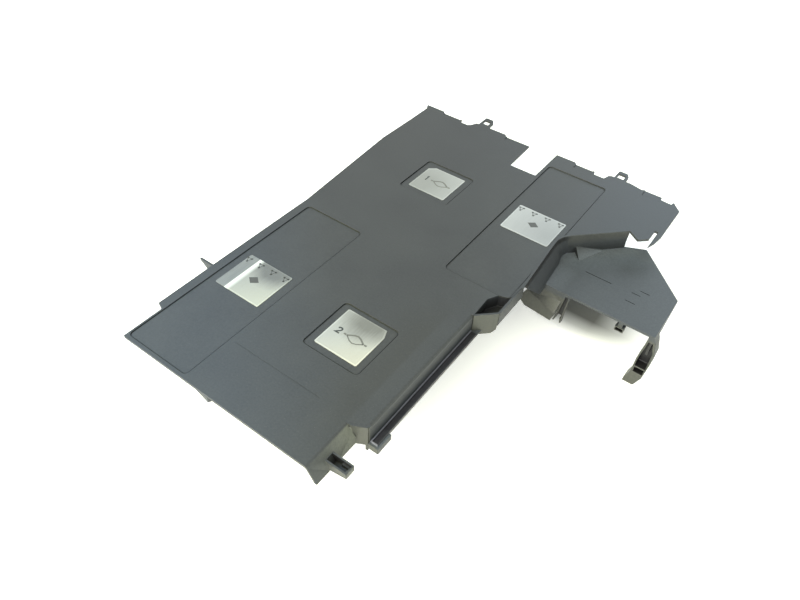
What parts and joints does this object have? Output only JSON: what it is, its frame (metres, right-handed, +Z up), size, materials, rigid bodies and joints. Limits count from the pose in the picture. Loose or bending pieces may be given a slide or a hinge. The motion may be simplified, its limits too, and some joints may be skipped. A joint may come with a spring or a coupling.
{
  "type": "server air baffle shroud",
  "caption": "Thin moulded duct cover that roofs the processor and memory air paths of a low rack server, with a stepped side hood, foil stickers and a seal strip.",
  "frame": {"origin": "middle of the bounding box in plan, on the surface that the duct walls and the corner leg stand on", "axes": "+X from the left side flange towards the hood and its corner leg, +Y from the open front edge towards the rear edge with the loop tabs, +Z up through the deck"},
  "size_m": [0.3468, 0.452, 0.084],
  "materials": {
    "moulding": "fine-grained dark grey moulded plastic",
    "label_foil": "brushed silver foil with a clear coat",
    "seal_strip": "smooth black, slightly glossy"
  },
  "bodies": {
    "root": {"shroud": "moulding", "cpu_label_1": "label_foil", "cpu_label_2": "label_foil", "memory_label_front": "label_foil", "memory_label_rear": "label_foil", "edge_seal": "seal_strip"}
  },
  "joints": []
}
